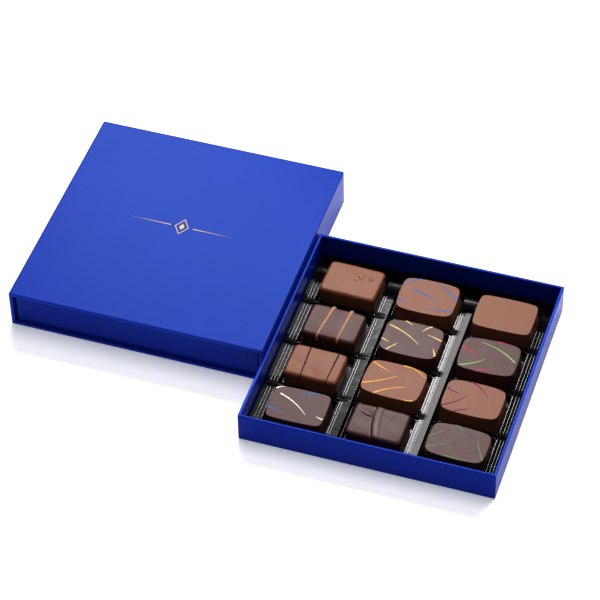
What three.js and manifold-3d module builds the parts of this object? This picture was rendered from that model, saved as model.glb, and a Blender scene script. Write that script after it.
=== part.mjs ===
// A slide box of chocolate pralines: a rigid wrapped-board sleeve and, drawn right out and lying
// beside it, the shallow tray with its formed plastic insert and twelve pralines in three columns
// of four. Millimetres, +Z up, +X to the right along both pieces, origin at the middle of the
// underside of the whole.
import * as THREE from 'three';
import { mergeVertices } from 'three/addons/utils/BufferGeometryUtils.js';
import Module from 'manifold-3d';

const wasm = await Module();
wasm.setup();

// Sleeve: a square tube of board, shut at the front by a panel set back from its rims, which
// leaves a narrow gap at its left and right.
const SLEEVE = { width: 158, depth: 158, height: 25.6, board: 2.2, edge: 0.6, recess: 2, panel: 2, gap: 1.2 };

// Tray: a shallow open box that slides into the sleeve, laid beside the sleeve's right side.
const TRAY = { width: 152, depth: 154, height: 19.5, wall: 1.8, floor: 1.75, edge: 0.6 };
const TRAY_GAP = 0.4;
const TRAY_BEHIND = -48;

// Insert: formed black plastic that fills the tray's floor, with one pocket for each praline.
const INSERT = {
  clearance: 0.3,
  corner: 6,
  ledge: 6.25,
  pocketFloor: 2.5,
  pocketWidth: 37.8,
  pocketDepth: 30.8,
  pocketCorner: 3,
};
const COLUMN_PITCH = 47.2;
const ROW_PITCH = 34.8;
const ROWS_CENTRE = -1.6;

// Dividers between the columns: a broad flat strip with two fine ribs along its left side.
const DIVIDER = { centre: 23.7, width: 7, strip: 7.5, rib: 8.25, back: 52, front: -68 };
const DIVIDER_RIBS = [{ from: -3.3, to: -2.1 }, { from: -1.5, to: -0.8 }];

// Fine ribs along the outer sides of the insert, measured from the tray's middle.
const SIDE_RIBS = [66.4, 68.8, 71.2];
const SIDE_RIB = { width: 0.8, top: 7.25, back: 52, front: -68 };

// Notches that cross every rib where one row of pockets ends and the next begins: on a divider
// from one place to another beside its middle, and on a side as far either way from its middle rib.
const NOTCH = { length: 2.6, floor: 6.5, from: -7, to: -0.7, besideRib: 5.9 };

// Pralines. Each kind is a stack of rings: [height above the base, inset from the outline].
const PRALINE_HEIGHT = 11;
const RING_POINTS = 36;
const ENROBED_RINGS = [[0, 0.5], [0.7, 0], [8.2, 0.1], [9.8, 0.4], [10.6, 1], [10.95, 2], [11, 4]];
const MOULDED_RINGS = [[0, -0.7], [5.2, -0.35], [10.45, 0.05], [10.85, 0.2], [11, 0.6]];
const SHAPES = {
  enrobed: { rings: ENROBED_RINGS, squareness: 13, bulgeLong: 0.012, bulgeShort: 0.01 },
  moulded: { rings: MOULDED_RINGS, squareness: 8, bulgeLong: 0.09, bulgeShort: 0.035 },
  plain: { rings: MOULDED_RINGS, squareness: 11, bulgeLong: 0.05, bulgeShort: 0.03 },
};

// Chocolate colours and the other finishes.
const MILK = { color: 0x8a5237, roughness: 0.42, metalness: 0 };
const DARK = { color: 0x4a2c26, roughness: 0.38, metalness: 0 };
const BOARD = { color: 0x1a3fa8, roughness: 0.5, metalness: 0 };
const PLASTIC = { color: 0x0b0b0c, roughness: 0.12, metalness: 0 };

// The twelve pralines by row from the back and column from the left: kind, chocolate, width and
// depth, how far each lies off the middle of its pocket along X and Y, and its turn in degrees.
const PRALINES = [
  { row: 1, column: 1, shape: 'enrobed', finish: MILK, size: [34.8, 26], off: [-0.2, 0.4], turn: -1.6 },
  { row: 1, column: 2, shape: 'moulded', finish: MILK, size: [35, 27.6], off: [-0.3, 0], turn: 0.8 },
  { row: 1, column: 3, shape: 'plain', finish: MILK, size: [35.6, 26.6], off: [0, -0.6], turn: 0.2 },
  { row: 2, column: 1, shape: 'enrobed', finish: DARK, size: [33.6, 25.4], off: [-0.2, -1.6], turn: -1.4 },
  { row: 2, column: 2, shape: 'moulded', finish: DARK, size: [34.8, 27], off: [0.2, -0.9], turn: -0.4 },
  { row: 2, column: 3, shape: 'moulded', finish: DARK, size: [34.8, 26.6], off: [-0.3, -1], turn: 1.1 },
  { row: 3, column: 1, shape: 'enrobed', finish: MILK, size: [32.8, 24.8], off: [-0.6, -0.7], turn: -1.1 },
  { row: 3, column: 2, shape: 'moulded', finish: MILK, size: [35.4, 26.8], off: [-0.4, -0.6], turn: -2.2 },
  { row: 3, column: 3, shape: 'moulded', finish: MILK, size: [34.8, 25.6], off: [0, -1], turn: -0.6 },
  { row: 4, column: 1, shape: 'plain', finish: DARK, size: [34, 25.6], off: [0.2, -0.6], turn: 0.8 },
  { row: 4, column: 2, shape: 'enrobed', finish: DARK, size: [33.2, 24.6], off: [0.2, 0.9], turn: -0.7 },
  { row: 4, column: 3, shape: 'moulded', finish: DARK, size: [35, 25], off: [0.6, -0.4], turn: -1.4 },
];

// Toppings. Places are fractions of the half width and half depth, and heights are measured from
// the top of the praline. Salt grains are pressed into one praline, each stands a share of its size
// proud, and each is turned and tilted a step more than the one before.
const GRAINS = [
  { x: 0.2, y: 0.3, size: 1.3 },
  { x: 0.27, y: 0.18, size: 1 },
  { x: 0.13, y: 0.08, size: 0.9 },
  { x: 0.3, y: 0.36, size: 0.9 },
  { x: 0.56, y: 0.34, size: 1.2 },
  { x: 0.63, y: 0.27, size: 0.9 },
];
const GRAIN_RISE = 0.12;
const GRAIN_TURN = 1;
const GRAIN_TILT = 0.7;

// Piped lines run over another praline from its back to its front and down its front side. Share
// is how far a station has moved from the line's back place to its front place.
const PIPED_RADIUS = 0.65;
const PIPED_LINES = [{ back: -0.22, front: -0.38 }, { back: 0.44, front: 0.36 }];
const PIPED_STATIONS = [
  { y: 0.73, drop: 0.5, share: 0 },
  { y: 0.53, drop: 0.12, share: 0.1 },
  { y: 0, drop: 0, share: 0.5 },
  { y: -0.61, drop: 0.1, share: 0.9 },
  { y: -0.83, drop: 0.8, share: 1 },
  { y: -0.945, drop: 2.4, share: 1 },
  { y: -0.98, drop: 5, share: 1 },
];

// The raised fold in the coating of a third praline, and the short lip that branches off it.
const FOLD = {
  radius: 1.5,
  steps: 10,
  stations: [
    { x: -0.19, y: 0.756, drop: 1.325 },
    { x: -0.19, y: 0.252, drop: 0.825 },
    { x: -0.125, y: -0.252, drop: 0.825 },
    { x: -0.03, y: -0.756, drop: 1.425 },
  ],
};
const LIP = {
  radius: 1.2,
  steps: 6,
  stations: [
    { x: -0.72, y: 0.5, drop: 1.175 },
    { x: -0.5, y: 0.34, drop: 0.925 },
    { x: -0.24, y: 0.26, drop: 0.825 },
  ],
};

// A closed solid for the joins and cuts, from any three.js geometry.
function solidOf(geometry) {
  const bare = new THREE.BufferGeometry();
  bare.setAttribute('position', geometry.getAttribute('position'));
  if (geometry.index) {
    bare.setIndex(geometry.index);
  }
  const merged = mergeVertices(bare, 1e-4);
  const mesh = new wasm.Mesh({
    numProp: 3,
    vertProperties: new Float32Array(merged.getAttribute('position').array),
    triVerts: new Uint32Array(merged.index.array),
  });
  return new wasm.Manifold(mesh);
}

// The three.js geometry of a finished solid.
function geometryOf(solid) {
  const mesh = solid.getMesh();
  const geometry = new THREE.BufferGeometry();
  geometry.setAttribute('position', new THREE.Float32BufferAttribute(mesh.vertProperties, 3));
  geometry.setIndex(Array.from(mesh.triVerts));
  geometry.computeVertexNormals();
  return geometry;
}

// A box given by its lowest and highest corners.
function boxBetween(low, high) {
  const size = high.map((value, axis) => value - low[axis]);
  const middle = high.map((value, axis) => (value + low[axis]) / 2);
  return new THREE.BoxGeometry(...size).translate(...middle);
}

// A rectangle with rounded corners, centred on the origin.
function roundedRectangle(width, depth, radius) {
  const x = width / 2;
  const y = depth / 2;
  const shape = new THREE.Shape();
  shape.moveTo(-x + radius, -y);
  shape.lineTo(x - radius, -y);
  shape.absarc(x - radius, -y + radius, radius, -Math.PI / 2, 0);
  shape.lineTo(x, y - radius);
  shape.absarc(x - radius, y - radius, radius, 0, Math.PI / 2);
  shape.lineTo(-x + radius, y);
  shape.absarc(-x + radius, y - radius, radius, Math.PI / 2, Math.PI);
  shape.lineTo(-x, -y + radius);
  shape.absarc(-x + radius, -y + radius, radius, Math.PI, Math.PI * 1.5);
  return shape;
}

// An upright prism of a rounded rectangle between two heights.
function roundedPrism(width, depth, radius, bottom, top, curveSegments = 4) {
  const shape = roundedRectangle(width, depth, radius);
  const settings = { depth: top - bottom, bevelEnabled: false, curveSegments };
  return new THREE.ExtrudeGeometry(shape, settings).translate(0, 0, bottom);
}

// A prism along Y of a rounded rectangle that stands on the floor, seen from the front.
function tubePrism(width, height, radius, lift, front, back) {
  const shape = roundedRectangle(width, height, radius);
  const settings = { depth: back - front, bevelEnabled: false, curveSegments: 3 };
  const prism = new THREE.ExtrudeGeometry(shape, settings);
  return prism.rotateX(Math.PI / 2).translate(0, back, lift + height / 2);
}

function makeSleeve() {
  const { width, depth, height, board, edge } = SLEEVE;
  const outer = solidOf(tubePrism(width, height, edge, 0, -depth / 2, depth / 2));
  const inner = boxBetween(
    [-width / 2 + board, -depth, board],
    [width / 2 - board, depth, height - board],
  );
  return geometryOf(outer.subtract(solidOf(inner)));
}

function makeSleeveEnd() {
  const { width, depth, height, board, recess, panel, gap } = SLEEVE;
  return boxBetween(
    [-width / 2 + board + gap, -depth / 2 + recess, board],
    [width / 2 - board - gap, -depth / 2 + recess + panel, height - board],
  );
}

function makeTray() {
  const { width, depth, height, wall, floor, edge } = TRAY;
  const outer = solidOf(roundedPrism(width, depth, edge, 0, height, 3));
  const inner = boxBetween(
    [-width / 2 + wall, -depth / 2 + wall, floor],
    [width / 2 - wall, depth / 2 - wall, height * 2],
  );
  return geometryOf(outer.subtract(solidOf(inner)));
}

// The middle of the pocket in one row and column, rows counted from the back.
function pocketCentre(row, column) {
  return { x: (column - 2) * COLUMN_PITCH, y: ROWS_CENTRE + (2.5 - row) * ROW_PITCH };
}

function makeInsert() {
  const width = TRAY.width - 2 * (TRAY.wall + INSERT.clearance);
  const depth = TRAY.depth - 2 * (TRAY.wall + INSERT.clearance);
  let insert = solidOf(roundedPrism(width, depth, INSERT.corner, TRAY.floor, INSERT.ledge));

  for (const side of [-1, 1]) {
    const middle = side * DIVIDER.centre;
    const strip = boxBetween(
      [middle - DIVIDER.width / 2, DIVIDER.front, INSERT.pocketFloor],
      [middle + DIVIDER.width / 2, DIVIDER.back, DIVIDER.strip],
    );
    insert = insert.add(solidOf(strip));
    for (const { from, to } of DIVIDER_RIBS) {
      const rib = boxBetween(
        [middle + from, DIVIDER.front, INSERT.pocketFloor],
        [middle + to, DIVIDER.back, DIVIDER.rib],
      );
      insert = insert.add(solidOf(rib));
    }
    for (const place of SIDE_RIBS) {
      const rib = boxBetween(
        [side * place - SIDE_RIB.width / 2, SIDE_RIB.front, INSERT.pocketFloor],
        [side * place + SIDE_RIB.width / 2, SIDE_RIB.back, SIDE_RIB.top],
      );
      insert = insert.add(solidOf(rib));
    }
  }

  for (const row of [1, 2, 3]) {
    const middle = pocketCentre(row, 2).y - ROW_PITCH / 2;
    for (const side of [-1, 1]) {
      const divider = boxBetween(
        [side * DIVIDER.centre + NOTCH.from, middle - NOTCH.length / 2, NOTCH.floor],
        [side * DIVIDER.centre + NOTCH.to, middle + NOTCH.length / 2, TRAY.height],
      );
      const edge = boxBetween(
        [side * SIDE_RIBS[1] - NOTCH.besideRib, middle - NOTCH.length / 2, NOTCH.floor],
        [side * SIDE_RIBS[1] + NOTCH.besideRib, middle + NOTCH.length / 2, TRAY.height],
      );
      insert = insert.subtract(solidOf(divider)).subtract(solidOf(edge));
    }
  }

  for (const { row, column } of PRALINES) {
    const { x, y } = pocketCentre(row, column);
    const { pocketWidth, pocketDepth, pocketCorner, pocketFloor } = INSERT;
    const pocket = roundedPrism(pocketWidth, pocketDepth, pocketCorner, pocketFloor, TRAY.height);
    insert = insert.subtract(solidOf(pocket.translate(x, y, 0)));
  }
  return geometryOf(insert);
}

// One point of a praline's outline: a superellipse whose sides bow out between the corners.
function outlinePoint(angle, halfWidth, halfDepth, shape) {
  const power = 2 / shape.squareness;
  const along = Math.sign(Math.cos(angle)) * Math.abs(Math.cos(angle)) ** power;
  const across = Math.sign(Math.sin(angle)) * Math.abs(Math.sin(angle)) ** power;
  return [
    halfWidth * along * (1 - shape.bulgeShort * across * across),
    halfDepth * across * (1 - shape.bulgeLong * along * along),
  ];
}

// A praline's body: its rings joined by side walls, closed by a fan at the base and at the top.
function pralineBody(width, depth, shape) {
  const vertices = [];
  const triangles = [];
  for (const [height, inset] of shape.rings) {
    for (let i = 0; i < RING_POINTS; i += 1) {
      const angle = ((i + 0.5) / RING_POINTS) * Math.PI * 2;
      const [x, y] = outlinePoint(angle, width / 2 - inset, depth / 2 - inset, shape);
      vertices.push(x, y, height);
    }
  }
  const ringCount = shape.rings.length;
  for (let ring = 0; ring < ringCount - 1; ring += 1) {
    for (let i = 0; i < RING_POINTS; i += 1) {
      const a = ring * RING_POINTS + i;
      const b = ring * RING_POINTS + ((i + 1) % RING_POINTS);
      triangles.push(a, b, b + RING_POINTS, a, b + RING_POINTS, a + RING_POINTS);
    }
  }
  const base = vertices.length / 3;
  vertices.push(0, 0, 0, 0, 0, PRALINE_HEIGHT);
  const lastRing = (ringCount - 1) * RING_POINTS;
  for (let i = 0; i < RING_POINTS; i += 1) {
    const next = (i + 1) % RING_POINTS;
    triangles.push(base, next, i);
    triangles.push(base + 1, lastRing + i, lastRing + next);
  }
  const geometry = new THREE.BufferGeometry();
  geometry.setAttribute('position', new THREE.Float32BufferAttribute(vertices, 3));
  geometry.setIndex(triangles);
  return geometry;
}

// A closed round strand along a smooth path through the given points.
function strand(points, radius, steps) {
  const section = new THREE.Shape().absellipse(0, 0, radius, radius, 0, Math.PI * 2);
  const path = new THREE.CatmullRomCurve3(points.map((point) => new THREE.Vector3(...point)));
  const settings = { steps, curveSegments: 4, extrudePath: path, bevelEnabled: false };
  return new THREE.ExtrudeGeometry(section, settings);
}

// Salt grains half sunk in the top.
function addGrains(body, width, depth) {
  return GRAINS.reduce((solid, { x, y, size }, index) => {
    const grain = new THREE.DodecahedronGeometry(size / 2);
    grain.rotateZ(index * GRAIN_TURN).rotateX(index * GRAIN_TILT);
    grain.translate((x * width) / 2, (y * depth) / 2, PRALINE_HEIGHT + size * GRAIN_RISE);
    return solid.add(solidOf(grain));
  }, body);
}

// Piped lines, which run over the top and down the front side.
function addPipedLines(body, width, depth) {
  return PIPED_LINES.reduce((solid, { back, front }) => {
    const points = PIPED_STATIONS.map(({ y, drop, share }) => {
      const x = back + (front - back) * share;
      return [(x * width) / 2, (y * depth) / 2, PRALINE_HEIGHT - drop];
    });
    return solid.add(solidOf(strand(points, PIPED_RADIUS, 16)));
  }, body);
}

// The raised fold and its lip, most of each sunk in the coating.
function addFold(body, width, depth) {
  return [FOLD, LIP].reduce((solid, { radius, steps, stations }) => {
    const points = stations.map(({ x, y, drop }) => {
      return [(x * width) / 2, (y * depth) / 2, PRALINE_HEIGHT - drop];
    });
    return solid.add(solidOf(strand(points, radius, steps)));
  }, body);
}

const TOPPINGS = { '1_1': addGrains, '2_1': addPipedLines, '4_2': addFold };

function makePraline({ row, column, shape, size: [width, depth] }) {
  const body = solidOf(pralineBody(width, depth, SHAPES[shape]));
  const addTopping = TOPPINGS[`${row}_${column}`];
  return geometryOf(addTopping ? addTopping(body, width, depth) : body);
}

function addPiece(parent, name, geometry, finish) {
  const mesh = new THREE.Mesh(geometry, new THREE.MeshStandardMaterial(finish));
  mesh.name = name;
  parent.add(mesh);
  return mesh;
}

// The whole, set so that the middle of its underside is the origin.
const trayCentreX = SLEEVE.width / 2 + TRAY_GAP + TRAY.width / 2;
const left = -SLEEVE.width / 2;
const right = trayCentreX + TRAY.width / 2;
const front = TRAY_BEHIND - TRAY.depth / 2;
const back = SLEEVE.depth / 2;

const box = new THREE.Group();
const sleeve = new THREE.Group();
sleeve.position.set(-(left + right) / 2, -(front + back) / 2, 0);
box.add(sleeve);
addPiece(sleeve, 'sleeve', makeSleeve(), BOARD);
addPiece(sleeve, 'sleeve_end', makeSleeveEnd(), BOARD);

const drawer = new THREE.Group();
drawer.position.set(trayCentreX, TRAY_BEHIND, 0).add(sleeve.position);
box.add(drawer);
addPiece(drawer, 'tray', makeTray(), BOARD);
addPiece(drawer, 'insert', makeInsert(), PLASTIC);

for (const praline of PRALINES) {
  const { row, column, finish, off: [dx, dy], turn } = praline;
  const piece = addPiece(drawer, `praline_${row}_${column}`, makePraline(praline), finish);
  const { x, y } = pocketCentre(row, column);
  piece.position.set(x + dx, y + dy, INSERT.pocketFloor);
  piece.rotation.z = THREE.MathUtils.degToRad(turn);
}

export default box;
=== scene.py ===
"""Dresses a slide box of chocolate pralines.

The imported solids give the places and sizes. The node helpers and the finishes come first, then the mesh
helpers, and then the classes of the sub-assemblies: the board tray, the board sleeve, the pralines with
their toppings, the formed insert, and the studio around them. Lengths are written in millimetres and
turned into metres by MM, except in the studio, where they are metres.
"""
import logging
import math
from collections.abc import Iterable, Sequence
from dataclasses import dataclass, field
from enum import Enum
from functools import partialmethod

import bpy
import numpy as np
from mathutils import Matrix, Vector


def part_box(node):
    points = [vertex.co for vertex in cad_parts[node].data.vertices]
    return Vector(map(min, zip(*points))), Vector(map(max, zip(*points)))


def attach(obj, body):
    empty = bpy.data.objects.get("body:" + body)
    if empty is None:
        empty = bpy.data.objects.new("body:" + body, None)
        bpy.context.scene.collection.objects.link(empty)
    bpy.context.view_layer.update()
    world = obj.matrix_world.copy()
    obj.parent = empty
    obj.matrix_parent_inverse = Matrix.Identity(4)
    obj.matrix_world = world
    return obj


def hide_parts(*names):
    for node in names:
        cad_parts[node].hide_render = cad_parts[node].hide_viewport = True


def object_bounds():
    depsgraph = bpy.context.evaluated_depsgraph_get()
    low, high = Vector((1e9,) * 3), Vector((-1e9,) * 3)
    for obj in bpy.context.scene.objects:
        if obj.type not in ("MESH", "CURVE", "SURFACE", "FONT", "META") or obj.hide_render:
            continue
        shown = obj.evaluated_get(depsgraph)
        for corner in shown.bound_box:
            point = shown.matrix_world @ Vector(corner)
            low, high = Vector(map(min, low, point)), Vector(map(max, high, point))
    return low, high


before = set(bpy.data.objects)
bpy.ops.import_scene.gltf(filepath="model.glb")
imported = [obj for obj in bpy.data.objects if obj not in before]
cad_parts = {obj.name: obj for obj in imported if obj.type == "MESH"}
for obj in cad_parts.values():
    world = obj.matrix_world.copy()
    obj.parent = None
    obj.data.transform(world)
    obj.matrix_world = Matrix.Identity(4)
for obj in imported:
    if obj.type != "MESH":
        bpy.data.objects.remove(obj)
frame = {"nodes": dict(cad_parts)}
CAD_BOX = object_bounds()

MM = 0.001
LOG = logging.getLogger("praline_box")
Colour = tuple[float, float, float]
Points = np.ndarray


class Socket:
    """An output of a node, which takes part in Python expressions."""

    def __init__(self, graph: "Graph", output: bpy.types.NodeSocket) -> None:
        """Keeps the graph and the output that the expression reads.

        Args:
            graph: the graph that new maths nodes go into.
            output: the node output that this socket stands for.
        """
        self.graph = graph
        self.output = output

    def _maths(self, operation: str, other: "Operand", swapped: bool = False) -> "Socket":
        """Adds a Math node that takes self and other, or other and self where swapped."""
        left, right = (other, self) if swapped else (self, other)
        return self.graph.node("ShaderNodeMath", {"operation": operation}, {0: left, 1: right})

    __add__ = __radd__ = partialmethod(_maths, "ADD")
    __sub__ = partialmethod(_maths, "SUBTRACT")
    __rsub__ = partialmethod(_maths, "SUBTRACT", swapped=True)
    __mul__ = __rmul__ = partialmethod(_maths, "MULTIPLY")
    __pow__ = partialmethod(_maths, "POWER")


Operand = Socket | float


class Graph:
    """A node tree that is written as Python expressions."""

    def __init__(self, tree: bpy.types.NodeTree) -> None:
        """Keeps the tree that nodes go into."""
        self.tree = tree

    def node(
        self,
        kind: str,
        settings: dict | None = None,
        inputs: dict | None = None,
        output: int | str = 0,
    ) -> Socket:
        """Adds a node.

        Args:
            kind: the node's type.
            settings: the node's own properties, set first.
            inputs: a value or a Socket for each named or numbered input.
            output: the output to return.

        Returns:
            The chosen output.
        """
        made = self.tree.nodes.new(kind)
        for name, value in (settings or {}).items():
            setattr(made, name, value)
        for key, value in (inputs or {}).items():
            self.feed(made.inputs[key], value)
        return Socket(self, made.outputs[output])

    def feed(self, target: bpy.types.NodeSocket, value: object) -> None:
        """Links a Socket to an input, or sets the input's own value."""
        if isinstance(value, Socket):
            self.tree.links.new(value.output, target)
        else:
            target.default_value = value


class Finish(Graph):
    """The shader of one material, on Object coordinates."""

    def __init__(self, name: str) -> None:
        """Makes an empty material with its principled shader."""
        self.material = bpy.data.materials.new(name)
        self.material.use_nodes = True
        super().__init__(self.material.node_tree)
        self.shader = self.tree.nodes["Principled BSDF"]

    def noise(self, grain: float, detail: float = 3.0) -> Socket:
        """Soft noise on Object coordinates, whose blotches are about `grain` millimetres across."""
        place = self.node("ShaderNodeTexCoord", output="Object")
        inputs = {"Vector": place, "Scale": 1 / (grain * MM), "Detail": detail}
        return self.node("ShaderNodeTexNoise", {}, inputs)

    def ramp(self, value: Socket, low: float, high: float) -> Socket:
        """Maps value from low..high to 0..1, held at both ends."""
        settings = {"interpolation_type": "SMOOTHSTEP", "clamp": True}
        inputs = {"Value": value, "From Min": low, "From Max": high}
        return self.node("ShaderNodeMapRange", settings, inputs)

    def mix(self, first: object, second: object, share: Operand) -> Socket:
        """Mixes two colours, with share of the second."""
        inputs = {0: share, 6: opaque(first), 7: opaque(second)}
        return self.node("ShaderNodeMix", {"data_type": "RGBA"}, inputs, output=2)

    def bump(self, height: Socket, depth: float, strength: float = 1.0) -> Socket:
        """A bump of that depth in millimetres."""
        inputs = {"Height": height, "Distance": depth * MM, "Strength": strength}
        return self.node("ShaderNodeBump", {}, inputs)

    def attribute(self, name: str) -> Socket:
        """Reads a number stored on the mesh."""
        return self.node("ShaderNodeAttribute", {"attribute_name": name}, {}, output="Fac")

    def shade(self, **sockets: object) -> bpy.types.Material:
        """Sets the shader's sockets, named with underscores for spaces, and returns the material."""
        for name, value in sockets.items():
            self.feed(self.shader.inputs[name.replace("_", " ")], value)
        return self.material


def opaque(colour: object) -> object:
    """Adds full alpha to a plain colour, and leaves a Socket as it is."""
    return colour if isinstance(colour, Socket) else (*colour, 1.0)


@dataclass(frozen=True)
class WrappedPaper:
    """Satin coloured paper that is glued round greyboard."""

    name: str = "wrapped_paper"
    colour: Colour = (0.003, 0.024, 0.31)
    worn: Colour = (0.012, 0.055, 0.46)
    gloss: Colour = (0.45, 0.9, 0.9)
    roughness: float = 0.3

    def build(self) -> bpy.types.Material:
        """Paper fibres as colour, gloss and bump, with paler paper where it folds over an edge."""
        finish = Finish(self.name)
        fibres = finish.noise(0.5, 4.0)
        clouds = finish.noise(30.0, 2.0)
        fold = finish.attribute("fold")
        tone = finish.mix(self.colour, [c * 1.18 for c in self.colour], clouds * 0.6 + fibres * 0.4)
        return finish.shade(
            Base_Color=finish.mix(tone, self.worn, fold * (0.35 + fibres * 0.5)),
            Roughness=self.roughness + fibres * 0.06 - 0.03,
            Normal=finish.bump(fibres, 0.012, 0.4),
            Specular_IOR_Level=0.15,
            Specular_Tint=(*self.gloss, 1.0),
            IOR=1.5,
        )


@dataclass(frozen=True)
class FormedPlastic:
    """Glossy black sheet, drawn down over a mould."""

    name: str = "formed_plastic"
    colour: Colour = (0.002, 0.002, 0.0024)
    bloom: Colour = (0.185, 0.18, 0.174)
    polished: float = 0.1
    matted: float = 0.4
    shine: float = 0.16
    waviness: float = 0.25

    def build(self) -> bpy.types.Material:
        """Near-black gloss with the faint waviness of a drawn sheet, matted where it was embossed."""
        finish = Finish(self.name)
        waves = finish.noise(9.0, 2.0)
        grain = finish.noise(0.7, 3.0)
        matt = finish.attribute("matt")
        return finish.shade(
            Base_Color=finish.mix(self.colour, self.bloom, matt * (0.8 + grain * 0.4)),
            Roughness=self.polished + grain * 0.04 + matt * (self.matted - self.polished),
            Normal=finish.bump(waves * 0.92 + grain * 0.08, 0.04, self.waviness),
            Specular_IOR_Level=self.shine,
            IOR=1.52,
        )


@dataclass(frozen=True)
class ChocolateFinish:
    """Tempered chocolate."""

    name: str
    colour: Colour
    deep: Colour
    roughness: float
    glow: float

    def build(self) -> bpy.types.Material:
        """Soft mottling, faint specks and a satin gloss that varies a little."""
        finish = Finish(self.name)
        mottle = finish.noise(7.0, 3.0)
        specks = finish.noise(0.35, 2.0)
        tone = finish.mix(self.deep, self.colour, finish.ramp(mottle, 0.25, 0.6))
        return finish.shade(
            Base_Color=finish.mix(tone, self.deep, finish.ramp(specks, 0.6, 0.78) * 0.35),
            Roughness=self.roughness + mottle * 0.12 - 0.06,
            Normal=finish.bump(mottle * 0.8 + specks * 0.2, 0.06, 0.4),
            Specular_IOR_Level=0.3,
            IOR=1.46,
            Subsurface_Weight=self.glow,
            Subsurface_Radius=(0.0020, 0.0009, 0.0005),
            Subsurface_Scale=1.0,
        )


class Chocolate(Enum):
    """The kinds of chocolate in the box."""

    MILK = ChocolateFinish("milk_chocolate", (0.226, 0.088, 0.043), (0.204, 0.076, 0.036), 0.36, 0.06)
    DARK = ChocolateFinish("dark_chocolate", (0.088, 0.034, 0.029), (0.074, 0.027, 0.023), 0.34, 0.04)


class Butter(Enum):
    """Coloured cocoa butter and piped chocolate, by what they look like."""

    BLUE = (0.045, 0.19, 0.50)
    YELLOW = (0.80, 0.62, 0.24)
    AMBER = (0.84, 0.44, 0.06)
    GREEN = (0.30, 0.53, 0.17)
    LEAF = (0.16, 0.27, 0.09)
    RED = (0.56, 0.055, 0.09)
    MAGENTA = (0.24, 0.006, 0.11)
    WHITE = (0.86, 0.84, 0.82)
    CARAMEL = (0.45, 0.26, 0.165)
    COCOA = (0.018, 0.006, 0.005)

    def build(self) -> bpy.types.Material:
        """A satin film that is a little thinner in places."""
        finish = Finish("butter_" + self.name.lower())
        thin = finish.noise(1.2, 2.0)
        return finish.shade(
            Base_Color=finish.mix(self.value, [c * 0.72 for c in self.value], thin),
            Roughness=0.3 + thin * 0.15,
            Specular_IOR_Level=0.22,
            IOR=1.46,
        )


@dataclass(frozen=True)
class Foil:
    """Gold foil pressed into paper."""

    name: str = "gold_foil"
    colour: Colour = (0.47, 0.35, 0.14)

    def build(self) -> bpy.types.Material:
        """Brushed-looking soft gold."""
        finish = Finish(self.name)
        grain = finish.noise(0.25, 3.0)
        return finish.shade(
            Base_Color=finish.mix(self.colour, [c * 0.8 for c in self.colour], grain),
            Roughness=0.5 + grain * 0.15,
            Metallic=1.0,
        )


@dataclass(frozen=True)
class Salt:
    """Coarse salt grains, half clear and stained by the chocolate."""

    name: str = "salt"
    colour: Colour = (0.95, 0.76, 0.58)

    def build(self) -> bpy.types.Material:
        """Glassy grains with a warm stain."""
        finish = Finish(self.name)
        stain = finish.noise(0.6, 2.0)
        return finish.shade(
            Base_Color=finish.mix(self.colour, [c * 0.8 for c in self.colour], stain),
            Roughness=0.1 + stain * 0.1,
            Subsurface_Weight=0.35,
            Subsurface_Radius=(0.001, 0.0008, 0.0006),
            Subsurface_Scale=1.0,
            IOR=1.54,
        )


@dataclass(frozen=True)
class FloorPaint:
    """The pale sweep that everything stands on."""

    name: str = "floor"
    colour: Colour = (0.93, 0.93, 0.94)
    glow: float = 0.3

    def build(self) -> bpy.types.Material:
        """Matt white with a trace of mottling."""
        finish = Finish(self.name)
        mottle = finish.noise(120.0, 2.0)
        return finish.shade(
            Base_Color=finish.mix(self.colour, [c * 0.985 for c in self.colour], mottle),
            Roughness=0.9,
            Emission_Color=(1.0, 1.0, 1.0, 1.0),
            Emission_Strength=self.glow,
        )


def skin(rings: Points, wrap: bool = False) -> tuple[Points, list]:
    """Joins closed rings into one closed surface.

    Args:
        rings: an array of rings, points and coordinates.
        wrap: whether the last ring joins the first. Otherwise both ends close in a fan.

    Returns:
        The vertices and the faces.
    """
    count, size, _ = rings.shape
    vertices = rings.reshape(-1, 3)
    here = np.arange(size)
    after = (here + 1) % size
    faces: list = []
    for ring in range(count if wrap else count - 1):
        low, high = ring * size, ((ring + 1) % count) * size
        faces += np.stack([low + here, low + after, high + after, high + here], 1).tolist()
    if not wrap:
        centres = np.stack([rings[0].mean(0), rings[-1].mean(0)])
        vertices = np.vstack([vertices, centres])
        first, last = count * size, count * size + 1
        start = (count - 1) * size
        faces += np.stack([np.full(size, first), after, here], 1).tolist()
        faces += np.stack([np.full(size, last), start + here, start + after], 1).tolist()
    return vertices, faces


def signed_volume(vertices: Points, faces: list) -> float:
    """The volume inside a closed surface, negative where its faces point inwards."""
    total = 0.0
    quads = np.array([face for face in faces if len(face) == 4]).reshape(-1, 4)
    triangles = np.array([face for face in faces if len(face) == 3]).reshape(-1, 3)
    for group in (quads[:, [0, 1, 2]], quads[:, [0, 2, 3]], triangles):
        a, b, c = (vertices[group[:, i].astype(int)] for i in range(3))
        total += float(np.einsum("ij,ij->i", a, np.cross(b, c)).sum()) / 6
    return total


def add_object(name: str, data: bpy.types.ID) -> bpy.types.Object:
    """Makes an object of a mesh, a light or a camera and links it to the scene."""
    made = bpy.data.objects.new(name, data)
    bpy.context.scene.collection.objects.link(made)
    return made


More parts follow.
